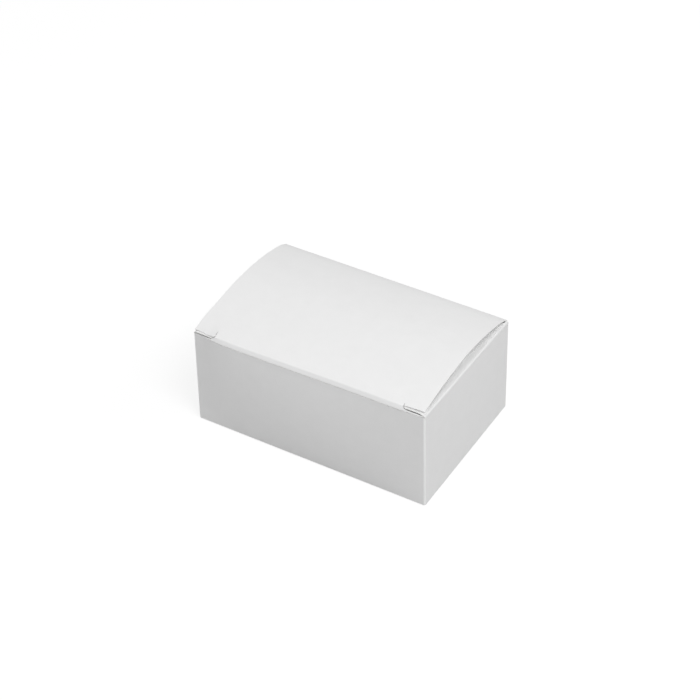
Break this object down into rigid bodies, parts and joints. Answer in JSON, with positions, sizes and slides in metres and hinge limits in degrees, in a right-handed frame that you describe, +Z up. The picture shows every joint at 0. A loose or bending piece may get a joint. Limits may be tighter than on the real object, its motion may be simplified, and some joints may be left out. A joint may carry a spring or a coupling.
{
  "type": "takeaway food box",
  "caption": "Closed white paperboard takeaway box: arched tuck-in lid with slit-locked corners, dust flaps, glued seam and a hooked self-locking base.",
  "frame": {"origin": "bottom centre of the closed box's bounding box, on the plane that it stands on", "axes": "+X to the box's right along its length, +Y from the tuck front to the hinged back, +Z up"},
  "size_m": [0.165, 0.1084, 0.0809],
  "materials": {
    "board": "smooth matt white coated board",
    "crease": "scored and folded matt white board",
    "glue": "dried cold glue"
  },
  "bodies": {
    "carton": {"front_panel": "board", "back_panel": "board", "left_side_panel": "board", "right_side_panel": "board", "seam_flap": "board", "front_left_corner_fold": "crease", "front_right_corner_fold": "crease", "back_right_corner_fold": "crease", "seam_flap_fold": "crease", "front_base_fold": "crease", "back_base_fold": "crease", "left_base_fold": "crease", "right_base_fold": "crease", "front_base_flap": "board", "back_base_flap": "board", "left_base_flap": "board", "right_base_flap": "board", "left_glued_corner": "board", "right_glued_corner": "board", "left_diagonal_crease": "crease", "right_diagonal_crease": "crease", "seam_glue": "glue", "front_base_glue": "glue", "back_base_glue": "glue", "lid_crease": "crease", "left_dust_crease": "crease", "right_dust_crease": "crease"},
    "lid": {"lid_panel": "board", "tuck_crease": "crease"},
    "tuck": {"tuck_flap": "board", "left_lock_ear": "board", "right_lock_ear": "board"},
    "left_dust": {"left_dust_flap": "board"},
    "right_dust": {"right_dust_flap": "board"}
  },
  "joints": [
    {"name": "lid_hinge", "type": "hinge", "parent": "carton", "child": "lid", "pos_m": [0, 0.054, 0.07075], "axis": [-1, 0, 0], "range_deg": [0, 180]},
    {"name": "tuck_hinge", "type": "hinge", "parent": "lid", "child": "tuck", "pos_m": [0, -0.05145, 0.0725], "axis": [-1, 0, 0], "range_deg": [0, 90], "deforming": ["left_lock_ear", "right_lock_ear"]},
    {"name": "left_dust_hinge", "type": "hinge", "parent": "carton", "child": "left_dust", "pos_m": [-0.08225, 0.00075, 0.07075], "axis": [0, -1, 0], "range_deg": [0, 108]},
    {"name": "right_dust_hinge", "type": "hinge", "parent": "carton", "child": "right_dust", "pos_m": [0.08225, 0.00075, 0.07075], "axis": [0, 1, 0], "range_deg": [0, 108]}
  ],
  "couplings": [
    {"joint": "tuck_hinge", "follows": "lid_hinge", "ratio": 0.5},
    {"joint": "left_dust_hinge", "follows": "lid_hinge", "ratio": 0.6},
    {"joint": "right_dust_hinge", "follows": "lid_hinge", "ratio": 0.6}
  ]
}
